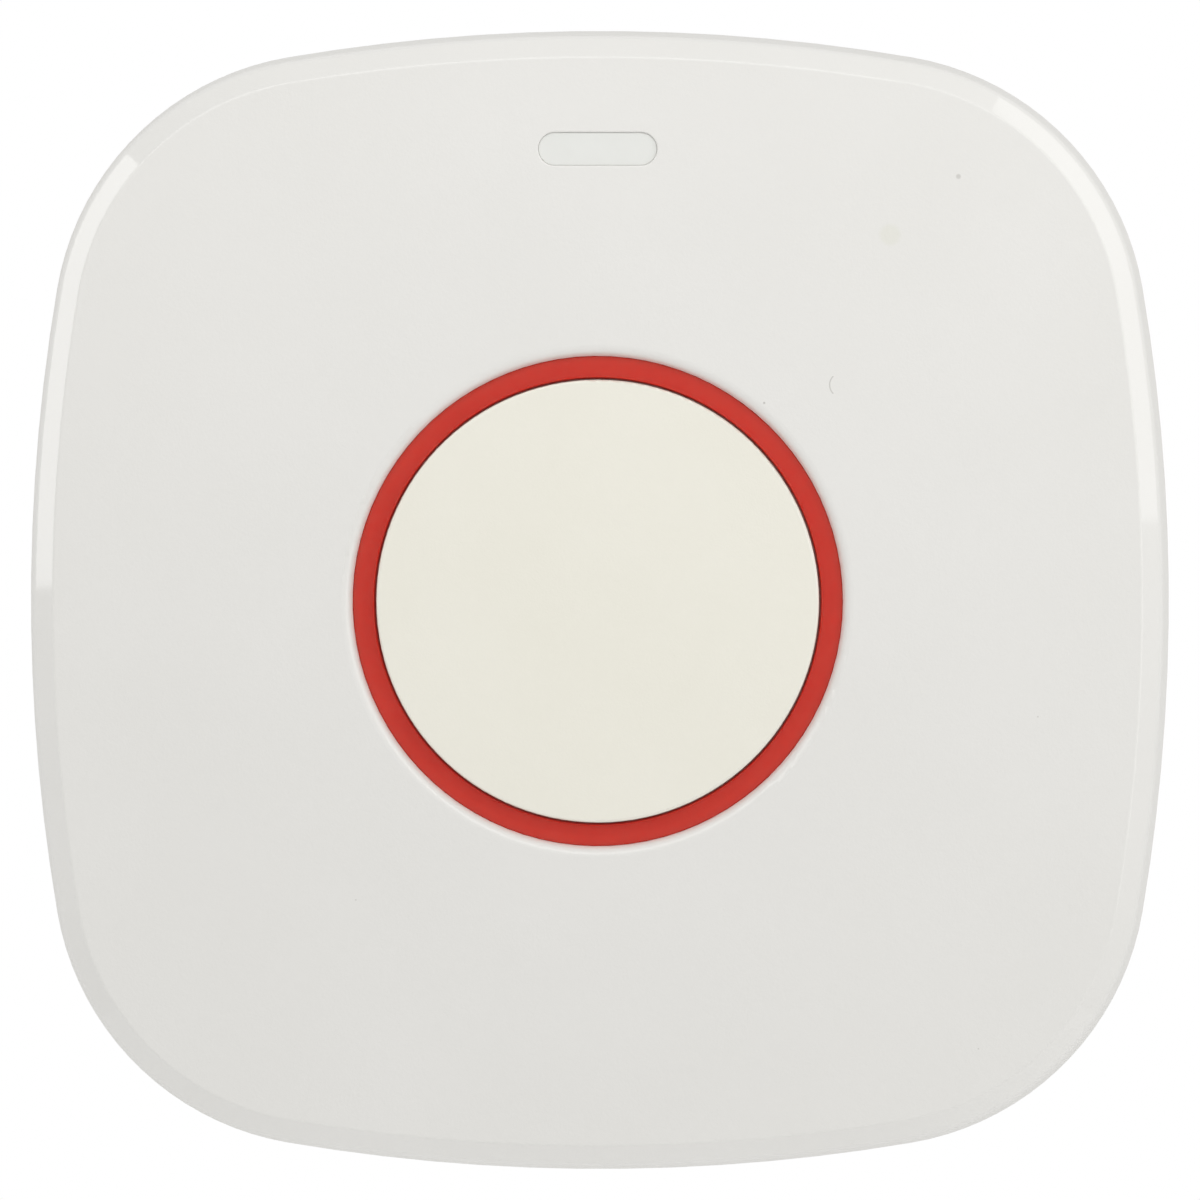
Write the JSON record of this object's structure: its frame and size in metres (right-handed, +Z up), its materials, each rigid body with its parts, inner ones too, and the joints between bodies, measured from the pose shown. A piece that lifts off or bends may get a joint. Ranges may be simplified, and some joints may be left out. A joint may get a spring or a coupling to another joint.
{
  "type": "wireless panic button",
  "caption": "Wall-mounted wireless alarm button: bevelled rounded-square white housing, round sprung push button in a red ring, small status window above it.",
  "frame": {"origin": "centre of the back face, on the wall plane", "axes": "+Y into the wall, +Z up with the status window at the top, +X to the right seen from the front; the button faces -Y"},
  "size_m": [0.08, 0.022, 0.08],
  "materials": {
    "housing_white": "fine satin moulded white",
    "ring_red": "smooth red",
    "button_cream": "fine satin warm white",
    "lens_milky": "milky diffusing lens",
    "spring_steel": "drawn wire",
    "board_laminate": "green solder mask",
    "moulding_black": "moulded black",
    "lamp_package": "white package with a clear filling",
    "tinned_steel": "tinned sheet",
    "tinned_copper": "tinned copper wire",
    "capacitor_can": "bright can",
    "chip_ceramic": "ceramic chips",
    "cell_sleeve": "plain sleeve",
    "contact_nickel": "nickel-plated strip",
    "plunger_grey": "moulded light grey",
    "screw_zinc": "zinc-plated"
  },
  "bodies": {
    "housing": {"rear_cover": "housing_white", "front_cover": "housing_white", "accent_ring": "ring_red", "light_pipe": "lens_milky", "return_spring": "spring_steel", "circuit_board": "board_laminate", "tact_switch_body": "moulding_black", "status_led": "lamp_package", "controller_chip": "moulding_black", "radio_shield": "tinned_steel", "crystal_can": "tinned_steel", "antenna_wire": "tinned_copper", "buffer_capacitor": "capacitor_can", "chip_parts": "chip_ceramic", "battery_cell": "cell_sleeve", "battery_plate": "contact_nickel", "battery_spring": "contact_nickel", "tamper_switch_body": "moulding_black", "tamper_spring": "spring_steel", "board_screws": "screw_zinc"},
    "button": {"push_button": "button_cream"},
    "switch_stem": {"tact_switch_actuator": "moulding_black"},
    "tamper_pin": {"tamper_plunger": "plunger_grey"},
    "tamper_stem": {"tamper_switch_actuator": "moulding_black"}
  },
  "joints": [
    {"name": "button_press", "type": "slide", "parent": "housing", "child": "button", "axis": [0, 1, 0], "range_m": [0, 0.0008], "stiffness_N_per_m": 1500, "springref_m": -0.001, "deforming": ["return_spring"]},
    {"name": "switch_stem_press", "type": "slide", "parent": "housing", "child": "switch_stem", "axis": [0, 1, 0], "range_m": [0, 0.00035]},
    {"name": "tamper_slide", "type": "slide", "parent": "housing", "child": "tamper_pin", "axis": [0, 1, 0], "range_m": [0, 0.0015], "stiffness_N_per_m": 100, "springref_m": 0.004, "deforming": ["tamper_spring"]},
    {"name": "tamper_stem_release", "type": "slide", "parent": "housing", "child": "tamper_stem", "axis": [0, 1, 0], "range_m": [0, 0.00025]}
  ],
  "couplings": [
    {"joint": "switch_stem_press", "follows": "button_press", "ratio": 0.4375},
    {"joint": "tamper_stem_release", "follows": "tamper_slide", "ratio": 0.16667}
  ]
}
